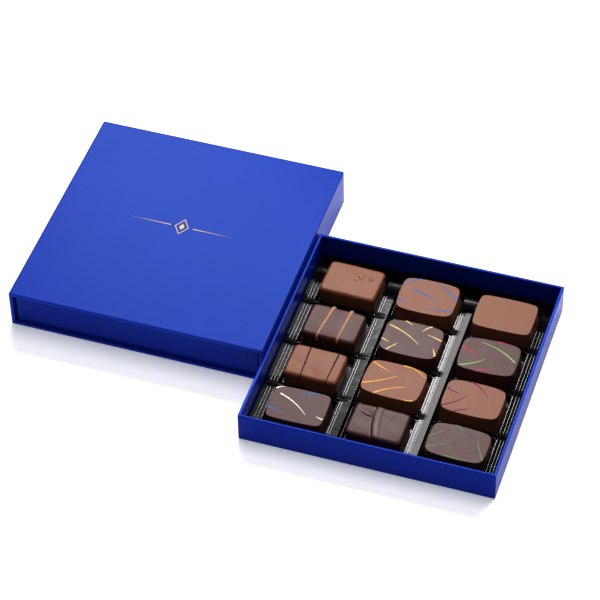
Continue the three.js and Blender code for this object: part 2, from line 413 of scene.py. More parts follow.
def make_object(
    name: str,
    vertices: Points,
    faces: list,
    materials: Sequence[bpy.types.Material],
    attributes: dict[str, Points] | None = None,
) -> bpy.types.Object:
    """Makes a smooth-shaded object at the origin whose faces point outwards.

    Args:
        name: the piece's name.
        vertices: places in metres in the frame of the whole.
        faces: vertex numbers of each face.
        materials: the object's materials.
        attributes: a number for each vertex, by attribute name.

    Returns:
        The new object.
    """
    if signed_volume(vertices, faces) < 0:
        faces = [face[::-1] for face in faces]
    mesh = bpy.data.meshes.new(name)
    mesh.from_pydata(vertices.tolist(), [], faces)
    for key, values in (attributes or {}).items():
        layer = mesh.attributes.new(key, "FLOAT", "POINT")
        layer.data.foreach_set("value", np.asarray(values, dtype=np.float32))
    for material in materials:
        mesh.materials.append(material)
    mesh.shade_smooth()
    mesh.validate()
    return add_object(name, mesh)


def finish_piece(piece: bpy.types.Object, slot: str, *nodes: str) -> bpy.types.Object:
    """Lets a piece ride on the part's one body, takes its slot and the nodes that it stands for."""
    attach(piece, "root")
    if nodes:
        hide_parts(*nodes)
    LOG.info("%s: %d faces", piece.name, len(piece.data.polygons))
    return piece


@dataclass(frozen=True)
class Ripple:
    """Smooth unevenness: a sum of waves whose directions are drawn once from a seed."""

    seed: int
    height: float
    length: float
    waves: int = 7

    def __call__(self, x: Points, y: Points) -> Points:
        """The height, in the unit of `height`, at each place."""
        draw = np.random.default_rng(self.seed)
        angles = draw.uniform(0, 2 * math.pi, self.waves)
        phases = draw.uniform(0, 2 * math.pi, self.waves)
        lengths = self.length * draw.uniform(0.6, 1.8, self.waves)
        total = np.zeros(np.broadcast(x, y).shape)
        for angle, phase, length in zip(angles, phases, lengths):
            along = x * math.cos(angle) + y * math.sin(angle)
            total += np.sin(2 * math.pi * along / length + phase)
        return self.height * total / math.sqrt(self.waves)


def smooth_step(value: Points, low: float, high: float) -> Points:
    """0 below low, 1 above high and an S-curve between."""
    share = np.clip((value - low) / (high - low), 0, 1)
    return share * share * (3 - 2 * share)


def bump_along(distance: Points, steep: float, gentle: float) -> Points:
    """A ridge across a line: steep on its negative side and gentle on its positive side."""
    width = np.where(distance < 0, steep, gentle)
    return np.exp(-((distance / width) ** 2))


class GrowthTree(Graph):
    """Geometry Nodes with named inputs, which end in real geometry of one material."""

    def __init__(self, name: str, kinds: dict[str, str]) -> None:
        """Makes the tree's inputs and its output.

        Args:
            name: the tree's name.
            kinds: the socket type of each input before the material, by the input's name.
        """
        tree = bpy.data.node_groups.new(name, "GeometryNodeTree")
        super().__init__(tree)
        kinds = {**kinds, "Material": "Material"}
        for label, kind in kinds.items():
            tree.interface.new_socket(label, in_out="INPUT", socket_type=f"NodeSocket{kind}")
        tree.interface.new_socket("Pieces", in_out="OUTPUT", socket_type="NodeSocketGeometry")
        entry = tree.nodes.new("NodeGroupInput")
        self.given = {label: Socket(self, entry.outputs[label]) for label in kinds}

    def close(self, geometry: Socket) -> None:
        """Realizes the geometry, gives it the material and links it to the output."""
        real = self.node("GeometryNodeRealizeInstances", {}, {"Geometry": geometry})
        inputs = {"Geometry": real, "Material": self.given["Material"]}
        painted = self.node("GeometryNodeSetMaterial", {}, inputs)
        self.feed(self.tree.nodes.new("NodeGroupOutput").inputs["Pieces"], painted)


class StrandTree(GrowthTree):
    """Turns lines into closed strands, which may be tapered and pressed flat."""

    BLOBS = 900.0
    TAPERING = 1.6

    def __init__(self) -> None:
        """Builds the tree."""
        numbers = dict.fromkeys(("Radius", "Taper", "Uneven", "Flatness", "Level"), "Float")
        super().__init__("strands", {"Lines": "Geometry", **numbers, "Sides": "Int"})
        given = self.given
        curve = self.node("GeometryNodeMeshToCurve", {}, {"Mesh": given["Lines"]})
        along = self.node("GeometryNodeSplineParameter", output="Factor")
        blobs = self.node("ShaderNodeTexNoise", {}, {"Scale": self.BLOBS, "Detail": 1.0})
        thickness = given["Radius"] * (1.0 - given["Taper"] * along**self.TAPERING)
        thickness = thickness * (1.0 + given["Uneven"] * (blobs - 0.5))
        inputs = {"Resolution": given["Sides"], "Radius": 1.0}
        profile = self.node("GeometryNodeCurvePrimitiveCircle", {}, inputs)
        inputs = {"Curve": curve, "Profile Curve": profile, "Scale": thickness, "Fill Caps": True}
        tube = self.node("GeometryNodeCurveToMesh", {}, inputs)
        parts = self.tree.nodes.new("ShaderNodeSeparateXYZ")
        self.feed(parts.inputs[0], self.node("GeometryNodeInputPosition"))
        x, y, z = (Socket(self, output) for output in parts.outputs)
        pressed = given["Level"] + (z - given["Level"]) * given["Flatness"]
        target = self.node("ShaderNodeCombineXYZ", {}, {0: x, 1: y, 2: pressed})
        flat = self.node("GeometryNodeSetPosition", {}, {"Geometry": tube, "Position": target})
        self.close(self.node("GeometryNodeSetShadeSmooth", {}, {"Geometry": flat}))


class GrainTree(GrowthTree):
    """Sets a crystal, turned and sized at random, on every point."""

    SEED = 11
    FORM = (1.0, 0.78, 0.6)
    SIZES = (0.7, 1.25)

    def __init__(self) -> None:
        """Builds the tree."""
        super().__init__("grains", {"Places": "Geometry", "Size": "Float"})
        ball = self.node("GeometryNodeMeshIcoSphere", {}, {"Radius": 0.5, "Subdivisions": 1})
        crystal = self.node("GeometryNodeTransform", {}, {"Geometry": ball, "Scale": self.FORM})
        points = self.node("GeometryNodeMeshToPoints", {}, {"Mesh": self.given["Places"]})
        inputs = {0: (0.0, 0.0, 0.0), 1: (math.tau, math.tau, math.tau), "Seed": self.SEED}
        turn = self.node("FunctionNodeRandomValue", {"data_type": "FLOAT_VECTOR"}, inputs)
        inputs = {2: self.SIZES[0], 3: self.SIZES[1], "Seed": self.SEED + 1}
        spread = self.node("FunctionNodeRandomValue", {"data_type": "FLOAT"}, inputs, output=1)
        inputs = {"Points": points, "Instance": crystal, "Rotation": turn}
        inputs["Scale"] = spread * self.given["Size"]
        self.close(self.node("GeometryNodeInstanceOnPoints", {}, inputs))


def grow(
    name: str,
    graph: GrowthTree,
    lines: Sequence[Points],
    values: dict[str, object],
) -> bpy.types.Object:
    """Runs a Geometry Nodes tree on lines or single points and keeps its result as a plain mesh.

    Args:
        name: the piece's name.
        graph: the tree.
        lines: the places along each line in metres.
        values: the tree's inputs by name.

    Returns:
        The new object, without any modifier.
    """
    vertices, edges = [], []
    for line in lines:
        start = len(vertices)
        vertices += line.tolist()
        edges += [(start + i, start + i + 1) for i in range(len(line) - 1)]
    source = bpy.data.meshes.new(name + "_source")
    source.from_pydata(vertices, edges, [])
    seedling = add_object(name + "_source", source)
    modifier = seedling.modifiers.new("grow", "NODES")
    modifier.node_group = graph.tree
    for item in graph.tree.interface.items_tree:
        if item.in_out == "INPUT" and item.name in values:
            modifier[item.identifier] = values[item.name]
    graph_now = bpy.context.evaluated_depsgraph_get()
    mesh = bpy.data.meshes.new_from_object(seedling.evaluated_get(graph_now))
    mesh.name = name
    bpy.data.objects.remove(seedling)
    bpy.data.meshes.remove(source)
    return add_object(name, mesh)


def rounded_outline(half_x: float, half_y: float, radius: float, steps: int = 5) -> Points:
    """A rectangle's outline with rounded corners, with close points beside each corner.

    Args:
        half_x: half its width.
        half_y: half its depth.
        radius: the corners' radius.
        steps: segments round each corner.

    Returns:
        The outline's points, anticlockwise.
    """
    points = []
    guard = 0.6
    for corner, (sx, sy) in enumerate(((1, 1), (-1, 1), (-1, -1), (1, -1))):
        centre = np.array([sx * (half_x - radius), sy * (half_y - radius)])
        angles = np.linspace(corner * math.pi / 2, (corner + 1) * math.pi / 2, steps + 1)
        arc = centre + radius * np.stack([np.cos(angles), np.sin(angles)], 1)
        before = arc[0] - guard * np.array([-math.sin(angles[0]), math.cos(angles[0])])
        after = arc[-1] + guard * np.array([-math.sin(angles[-1]), math.cos(angles[-1])])
        points += [before, *arc, after]
    return np.array(points)


def fillet(radius: float, steps: int = 4) -> list[tuple[float, float]]:
    """A quarter round from one flat side to the next, as distances from the two sides."""
    quarter = np.linspace(0, math.pi / 2, steps + 1)
    return [(radius * (1 - math.sin(a)), radius * (1 - math.cos(a))) for a in quarter]


@dataclass
class Tray:
    """The open tray: greyboard walls and floor, wrapped in paper."""

    wall: float = 1.8
    floor: float = 1.75
    corner: float = 0.7
    rim: float = 0.45
    least_corner: float = 0.12
    side_band: float = 0.3
    paper: bpy.types.Material | None = None
    low: Points = field(default_factory=lambda: np.array(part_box("tray")[0]) / MM)
    high: Points = field(default_factory=lambda: np.array(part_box("tray")[1]) / MM)

    @property
    def centre(self) -> Points:
        """The middle of the tray's underside, in millimetres."""
        middle = (self.low + self.high) / 2
        return np.array([middle[0], middle[1], self.low[2]])

    @property
    def half(self) -> Points:
        """Half the tray's width and depth, in millimetres."""
        return (self.high - self.low)[:2] / 2

    @property
    def top(self) -> float:
        """The rim's height in millimetres."""
        return self.high[2]

    def profile(self) -> list[tuple[float, float, float]]:
        """The wall's section from the underside over the rim to the floor: inset, height and fold."""
        under, foot_guard, rim_guard, floor_guard, seam = 2.0, 0.4, 0.5, 0.6, 0.15
        below_rim = self.top - self.rim - rim_guard
        turn = fillet(self.rim)
        return [
            (under, 0.0, 0.0),
            (self.rim + foot_guard, 0.0, 0.0),
            *((u, v, 0.5) for u, v in turn),
            (0.0, self.rim + foot_guard, 0.0),
            (0.0, below_rim, 0.0),
            *((v, self.top - u, 1.0) for u, v in turn),
            *((self.wall - u, self.top - v, 1.0) for u, v in turn),
            (self.wall, below_rim, 0.0),
            (self.wall, self.floor + floor_guard, 0.0),
            (self.wall, self.floor + seam, 0.0),
            (self.wall + seam, self.floor, 0.0),
            (self.wall + floor_guard, self.floor, 0.0),
        ]

    def build(self) -> bpy.types.Object:
        """Lofts the wall's section round the tray, with worn paper along its left and right only."""
        rings, folds = [], []
        for inset, height, fold in self.profile():
            radius = max(self.corner - inset, self.least_corner)
            outline = rounded_outline(self.half[0] - inset, self.half[1] - inset, radius)
            rings.append(np.column_stack([outline, np.full(len(outline), height)]))
            lateral = np.abs(outline[:, 0]) > self.half[0] - inset - radius - self.side_band
            folds.append(fold * lateral)
        rings = np.array(rings)
        rings[:, :, :2] += self.centre[:2]
        vertices, faces = skin(rings)
        folds = np.concatenate([*folds, [0.0, 0.0]])
        made = make_object("board_tray", vertices * MM, faces, [self.paper], {"fold": folds})
        return finish_piece(made, "wrapped_board", "tray")


@dataclass
class Sleeve:
    """The slide sleeve: a flat square tube of wrapped board with a front end panel."""

    board: float = 2.2
    corner: float = 0.7
    rim: float = 0.5
    guard: float = 0.5
    least_corner: float = 0.15
    end_edge: float = 0.35
    end_corner: float = 0.3
    ornament: tuple[float, float] = (0.0, 4.0)
    core: tuple[float, float] = (3.4, 5.2)
    frame: tuple[float, float] = (9.0, 13.4)
    frame_lines: tuple[float, float] = (1.3, 1.8)
    rule: tuple[float, float, float] = (7.0, 33.0, 0.7)
    foil_sunk: float = 0.05
    foil_proud: float = 0.03
    paper: bpy.types.Material | None = None
    foil: bpy.types.Material | None = None
    low: Points = field(default_factory=lambda: np.array(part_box("sleeve")[0]) / MM)
    high: Points = field(default_factory=lambda: np.array(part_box("sleeve")[1]) / MM)

    @property
    def centre(self) -> Points:
        """The sleeve's middle in millimetres."""
        return (self.low + self.high) / 2

    @property
    def half(self) -> Points:
        """Half the sleeve's width, depth and height in millimetres."""
        return (self.high - self.low) / 2

    def stations(self) -> list[tuple[float, float, float]]:
        """From the front along the outside and back inside: inset, place along Y and fold."""
        reach, inner = self.half[1], self.board
        flat = reach - self.rim - self.guard
        turn = fillet(self.rim)
        stations = [(u, v - reach, 1.0) for u, v in turn]
        stations += [(0.0, -flat, 0.0), (0.0, flat, 0.0)]
        stations += [(v, reach - u, 1.0) for u, v in turn]
        stations += [(inner - u, reach - v, 1.0) for u, v in turn]
        stations += [(inner, flat, 0.0), (inner, -flat, 0.0)]
        stations += [(inner - v, u - reach, 1.0) for u, v in turn]
        return stations

    @staticmethod
    def sections(stations: list, half: Points, corner: float, least: float) -> tuple[Points, Points]:
        """The rounded sections across Y, and the fold at each of their points.

        Args:
            stations: inset, place along Y and fold of each section.
            half: half the width, depth and height of the whole.
            corner: the corners' radius at no inset.
            least: the smallest radius that a corner keeps.

        Returns:
            The rings and the folds.
        """
        rings, folds = [], []
        for inset, along, fold in stations:
            outline = rounded_outline(half[0] - inset, half[2] - inset, max(corner - inset, least))
            rings.append(np.column_stack([outline[:, 0], np.full(len(outline), along), outline[:, 1]]))
            folds.append(np.full(len(outline), fold))
        return np.array(rings), np.concatenate(folds)

    def build_shell(self) -> bpy.types.Object:
        """Lofts the tube's section along Y, outside and inside."""
        rings, folds = self.sections(self.stations(), self.half, self.corner, self.least_corner)
        vertices, faces = skin(rings + self.centre, wrap=True)
        made = make_object("board_sleeve", vertices * MM, faces, [self.paper], {"fold": folds})
        return finish_piece(made, "wrapped_board", "sleeve")

    def build_end(self) -> bpy.types.Object:
        """The end panel: a slab with softly folded edges."""
        low, high = (np.array(corner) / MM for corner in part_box("sleeve_end"))
        middle, half = (low + high) / 2, (high - low) / 2
        turn = fillet(self.end_edge, 3)
        back = [(self.end_edge + self.guard, half[1], 0.0), (3.0, half[1], 0.0)]
        stations = [(inset, -along, fold) for inset, along, fold in back[::-1]]
        stations += [(u, v - half[1], 0.7) for u, v in turn]
        stations += [(v, half[1] - u, 0.7) for u, v in turn]
        rings, folds = self.sections(stations + back, half, self.end_corner, self.end_corner)
        vertices, faces = skin(rings + middle)
        folds = np.concatenate([folds, [0.0, 0.0]])
        made = make_object("board_sleeve_end", vertices * MM, faces, [self.paper], {"fold": folds})
        return finish_piece(made, "wrapped_board", "sleeve_end")

    def build_ornament(self) -> bpy.types.Object:
        """A plain ornament pressed in foil on the top: a lozenge in a lozenge between two rules."""
        level = self.half[2]
        x, y = self.ornament

        def leaf(outline: Sequence[tuple[float, float]]) -> Points:
            """The foil's rings for one outline, from just under the paper to just over it."""
            points = np.array(outline)
            heights = (level - self.foil_sunk, level + self.foil_proud)
            return np.array([np.column_stack([points, np.full(len(points), height)]) for height in heights])

        def lozenge(width: float, height: float) -> list[tuple[float, float]]:
            """The four corners of an upright lozenge."""
            return [(x + width / 2, y), (x, y + height / 2), (x - width / 2, y), (x, y - height / 2)]

        leaves = [leaf(lozenge(*self.core))]
        outer = lozenge(*self.frame)
        inner = lozenge(*(full - line for full, line in zip(self.frame, self.frame_lines)))
        for i in range(4):
            j = (i + 1) % 4
            leaves.append(leaf([outer[i], outer[j], inner[j], inner[i]]))
        gap, reach, thick = self.rule
        for side in (-1, 1):
            near, far = x + side * gap, x + side * reach
            leaves.append(leaf([(near, y - thick / 2), (far, y), (near, y + thick / 2)]))
        vertices, faces = [], []
        for rings in leaves:
            points, cells = skin(rings + self.centre)
            if signed_volume(points, cells) < 0:
                cells = [cell[::-1] for cell in cells]
            start = sum(len(item) for item in vertices)
            vertices.append(points)
            faces += [[start + number for number in cell] for cell in cells]
        made = make_object("foil_ornament", np.vstack(vertices) * MM, faces, [self.foil])
        made.data.shade_flat()
        return finish_piece(made, "wrapped_board")

    def build(self) -> None:
        """Builds the sleeve's pieces."""
        self.build_shell()
        self.build_end()
        self.build_ornament()


class Form(Enum):
    """How a praline was made: squareness of its outline, how its long and short sides bow, its draft."""

    COATED = (13.0, 0.012, 0.01, 0.0)
    MOULDED = (8.0, 0.09, 0.035, 0.9)
    PLAIN = (11.0, 0.05, 0.03, 0.9)


@dataclass(frozen=True)
class Streak:
    """A brushed arc of coloured cocoa butter, in fractions of the top's half width and half depth."""

    colour: Butter
    start: tuple[float, float]
    end: tuple[float, float]
    bow: float = 0.0


@dataclass(frozen=True)
class Line:
    """A line over a coated praline from back to front, in fractions of the half width."""

    back: float
    front: float
    width: float
    drop: float
    colour: Butter


@dataclass(frozen=True)
class Fold:
    """A fold in a coating with a lip that branches off it.

    Places are fractions of the half sizes, and the other values are millimetres.
    """

    crest: Sequence[tuple[float, float]] = (
        (1.0, -0.16), (0.756, -0.19), (0.25, -0.19), (-0.25, -0.125), (-0.756, -0.03),
    )
    height: float = 0.8
    steep: float = 0.5
    gentle: float = 2.6
    crease: float = 0.3
    crease_off: float = 1.2
    crease_width: float = 0.55
    lip: Sequence[tuple[float, float]] = ((-0.82, 0.54), (-0.635, 0.38), (-0.444, 0.285), (-0.24, 0.27))
    lip_height: float = 0.4
    lip_start: float = 0.35
    lip_end: tuple[float, float] = (-2.0, -0.8)
    lip_steep: float = 0.3
    lip_gentle: float = 4.0


@dataclass
class Praline:
    """One praline in its pocket. Lengths in millimetres, turn in degrees."""

    row: int
    column: int
    form: Form
    chocolate: Chocolate
    width: float
    depth: float
    dx: float
    dy: float
    turn: float
    streaks: Sequence[Streak] = ()
    lines: Sequence[Line] = ()
    grains: Sequence[tuple[float, float]] = ()
    fold: Fold | None = None

    HEIGHT = 11.0
    SHOULDER = 1.9
    EDGE = 0.28
    CROWN = 0.3
    WAVES = (0.06, 14.0)
    POURED = (0.09, 1.9)
    MOUND = (0.25, 1.1)
    AROUND = 320
    ACROSS = 44
    BRUSH = 1.05
    BRUSHED = 0.1
    GRAIN = 1.35
    GRAIN_RISE = 0.12

    @property
    def node(self) -> str:
        """The name of its solid."""
        return f"praline_{self.row}_{self.column}"

    @property
    def half(self) -> Points:
        """Half its width and depth."""
        return np.array([self.width, self.depth]) / 2

    def outline(self, inset: float, count: int) -> Points:
        """Its outline, moved in by inset, as evenly spaced points.

        Args:
            inset: how far inside the true outline, in millimetres.
            count: how many points.

        Returns:
            Points round the middle, anticlockwise.
        """
        squareness, bow_long, bow_short, _ = self.form.value
        angle = np.linspace(0, 2 * math.pi, 4001)
        along = np.sign(np.cos(angle)) * np.abs(np.cos(angle)) ** (2 / squareness)
        across = np.sign(np.sin(angle)) * np.abs(np.sin(angle)) ** (2 / squareness)
        x = (self.width / 2 - inset) * along * (1 - bow_short * across**2)
        y = (self.depth / 2 - inset) * across * (1 - bow_long * along**2)
        walked = np.concatenate([[0.0], np.cumsum(np.hypot(np.diff(x), np.diff(y)))])
        marks = np.linspace(0, walked[-1], count, endpoint=False)
        return np.stack([np.interp(marks, walked, x), np.interp(marks, walked, y)], 1)

    def profile(self) -> list[tuple[float, float]]:
        """The side's section from the base to the edge of the top: inset and height."""
        if self.form is Form.COATED:
            side = [(0.55, 0.0), (0.18, 0.15), (0.0, 0.6), (0.08, 1.6), (0.16, 3.2), (0.14, 5.0)]
            side += [(0.06, 6.8), (0.02, 7.9)]
            return side + [(v, self.HEIGHT - self.CROWN - u) for u, v in fillet(self.SHOULDER, 11)]
        draft = self.form.value[3]
        levels = np.linspace(0.3, self.HEIGHT - self.EDGE - 0.3, 9)
        lean = 1 - levels / self.HEIGHT
        side = [(0.25 - draft, 0.0), (-draft, 0.2)]
        side += list(zip((-draft * lean**1.25).tolist(), levels.tolist()))
        return side + [(v, self.HEIGHT - u) for u, v in fillet(self.EDGE, 5)]

    def relief(self, x: Points, y: Points) -> Points:
        """How far the top stands above its plain level."""
        if self.form is not Form.COATED:
            return np.zeros_like(x)
        half_x, half_y = self.half
        crown = self.CROWN * (1 - (x / half_x) ** 2) * (1 - (y / half_y) ** 2)
        height = crown + Ripple(10 * self.row + self.column, *self.WAVES)(x, y)
        mound, spread = self.MOUND
        for across, along in self.grains:
            apart = (x - across * half_x) ** 2 + (y - along * half_y) ** 2
            height = height + mound * np.exp(-apart / spread)
        if self.fold:
            height = height + self.fold_relief(self.fold, x, y)
        return height

    def fold_relief(self, fold: Fold, x: Points, y: Points) -> Points:
        """The fold: a crest that drops steeply to a crease on its left, and a lip behind the crease."""
        half_x, half_y = self.half
        along, across = np.array(fold.crest).T
        off = x - half_x * np.polyval(np.polyfit(along, across, 3), y / half_y)
        height = fold.height * bump_along(off, fold.steep, fold.gentle)
        height = height - fold.crease * np.exp(-(((off + fold.crease_off) / fold.crease_width) ** 2))
        across, along = np.array(fold.lip).T
        behind = y - half_y * np.polyval(np.polyfit(across, along, 2), x / half_x)
        reach = smooth_step(x / half_x, across[0], across[0] + fold.lip_start)
        reach = reach * (1 - smooth_step(off, *fold.lip_end))
        return height + fold.lip_height * reach * bump_along(behind, fold.lip_steep, fold.lip_gentle)

    def surface(self) -> tuple[Points, list]:
        """The praline's skin in its own frame, base at nought."""
        profile = self.profile()
        rings = []
        for inset, height in profile:
            outline = self.outline(inset, self.AROUND)
            rings.append(np.column_stack([outline, np.full(len(outline), height)]))
        edge_inset, edge_height = profile[-1]
        edge = self.outline(edge_inset, self.AROUND)
        for share in np.linspace(1, 0, self.ACROSS)[1:-1]:
            rings.append(np.column_stack([edge * share, np.full(self.AROUND, edge_height)]))
        base = [np.column_stack([rings[0][:, :2] * 0.6, np.zeros(self.AROUND)])]
        rings = np.array(base + rings)
        rings[:, :, 2] += self.fade(rings[:, :, 2]) * self.relief(rings[:, :, 0], rings[:, :, 1])
        if self.form is Form.COATED:
            self.soften(rings)
        return skin(rings)

    def fade(self, height: Points) -> Points:
        """How much of the relief shows at a height."""
        return smooth_step(height, self.HEIGHT - 4.5, self.HEIGHT - 0.8)

    def soften(self, rings: Points) -> None:
        """Gives a coated side the small unevenness of a poured coating."""
        around = np.linspace(0, 2 * math.pi, self.AROUND, endpoint=False)
        level = rings[:, :1, 2]
        waves = Ripple(7 * self.row + self.column, *self.POURED)
        push = waves(10 * np.cos(around)[None, :], 10 * np.sin(around) + level)
        lift = smooth_step(level, 0.2, 2.0) * (1 - smooth_step(level, self.HEIGHT - 2.5, self.HEIGHT - 0.4))
        length = np.maximum(np.hypot(rings[:, :, 0], rings[:, :, 1]), 1e-6)
        rings[:, :, 0] += lift * push * rings[:, :, 0] / length
        rings[:, :, 1] += lift * push * rings[:, :, 1] / length

    def place(self, points: Points, shop: "Workshop") -> Points:
        """Moves points from the praline's own frame to the frame of the whole, in millimetres."""
        angle = math.radians(self.turn)
        turned = points.copy()
        turned[:, 0] = points[:, 0] * math.cos(angle) - points[:, 1] * math.sin(angle)
        turned[:, 1] = points[:, 0] * math.sin(angle) + points[:, 1] * math.cos(angle)
        x, y = shop.insert.pocket_centre(self.row, self.column)
        return turned + np.array([x + self.dx, y + self.dy, shop.insert.pocket_floor]) + shop.tray.centre

    def streak_path(self, streak: Streak) -> Points:
        """A streak's middle line on the flat top, kept just inside its edge."""
        start, end = np.array(streak.start) * self.half, np.array(streak.end) * self.half
        bow = streak.bow
        if np.abs(streak.start).max() < np.abs(streak.end).max():
            start, end, bow = end, start, -bow
        share = np.linspace(0, 1, 25)[:, None]
        side = np.array([start[1] - end[1], end[0] - start[0]])
        points = start + (end - start) * share + 4 * bow * share * (1 - share) * side
        edge = self.outline(0.45, 720)
        angles = np.arctan2(edge[:, 1], edge[:, 0])
        order = np.argsort(angles)
        bearing = np.arctan2(points[:, 1], points[:, 0])
        limit = np.interp(bearing, angles[order], np.hypot(*edge[order].T), period=2 * math.pi)
        points *= np.minimum(1, limit / np.maximum(np.hypot(*points.T), 1e-6))[:, None]
        return np.column_stack([points, np.full(len(points), self.HEIGHT)])

    def line_path(self, line: Line) -> Points:
        """A line's middle over the top and down the front side, sunk a little into the coating."""
        section = [(inset, height) for inset, height in self.profile() if height > self.HEIGHT - line.drop]
        behind = [item for item in section if item[1] > self.HEIGHT - 1.6]
        reach = self.half[1] - section[-1][0]
        path = [(self.half[1] - inset, height) for inset, height in behind]
        path += [(y, section[-1][1]) for y in np.linspace(reach, -reach, 16)[1:-1]]
        path += [(inset - self.half[1], height) for inset, height in section[::-1]]
        y, z = np.array(path).T
        x = self.half[0] * (line.back + (line.front - line.back) * (1 - y / self.half[1]) / 2)
        z = z + self.fade(z) * self.relief(x, y)
        run, rise = np.gradient(y), np.gradient(z)
        length = np.hypot(run, rise)
        sunk = 0.35 * line.width / 2
        return np.column_stack([x, y - sunk * rise / length, z + sunk * run / length])

    def build(self, shop: "Workshop") -> bpy.types.Object:
        """Makes the praline's body."""
        vertices, faces = self.surface()
        placed = self.place(vertices, shop) * MM
        made = make_object(f"{self.node}_body", placed, faces, [shop.finishes[self.chocolate]])
        return finish_piece(made, self.chocolate.value.name, self.node)

    def decorate(self, shop: "Workshop") -> None:
        """Adds the praline's streaks, lines and grains."""
        slot = self.chocolate.value.name
        top = shop.tray.centre[2] + shop.insert.pocket_floor + self.HEIGHT
        for colour in sorted({streak.colour for streak in self.streaks}, key=lambda item: item.name):
            chosen = [streak for streak in self.streaks if streak.colour is colour]
            paths = [self.place(self.streak_path(streak), shop) * MM for streak in chosen]
            values = {"Radius": self.BRUSH / 2 * MM, "Taper": 0.7, "Uneven": 0.9, "Flatness": self.BRUSHED}
            values |= {"Level": top * MM, "Sides": 10, "Material": shop.finishes[colour]}
            made = grow(f"{self.node}_{colour.name.lower()}_streaks", shop.strands, paths, values)
            finish_piece(made, slot)
        if self.lines:
            paths = [self.place(self.line_path(line), shop) * MM for line in self.lines]
            first = self.lines[0]
            values = {"Radius": first.width / 2 * MM, "Taper": 0.35, "Uneven": 0.25, "Flatness": 1.0}
            values |= {"Level": 0.0, "Sides": 14, "Material": shop.finishes[first.colour]}
            finish_piece(grow(f"{self.node}_lines", shop.strands, paths, values), slot)
        if self.grains:
            places = np.array(self.grains) * self.half
            level = self.HEIGHT - self.CROWN + self.relief(places[:, 0], places[:, 1]) + self.GRAIN_RISE
            points = self.place(np.column_stack([places, level]), shop) * MM
            values = {"Size": self.GRAIN * MM, "Material": shop.finishes[Salt]}
            made = grow(f"{self.node}_grains", shop.grains, [point[None, :] for point in points], values)
            finish_piece(made, slot)


@dataclass(frozen=True)
class Rib:
    """How one set of ribs is made: how far its middle is sunk, and how far it swerves at a row's end."""

    name: str
    radius: float
    sides: int
    sunk: float
    bend: float


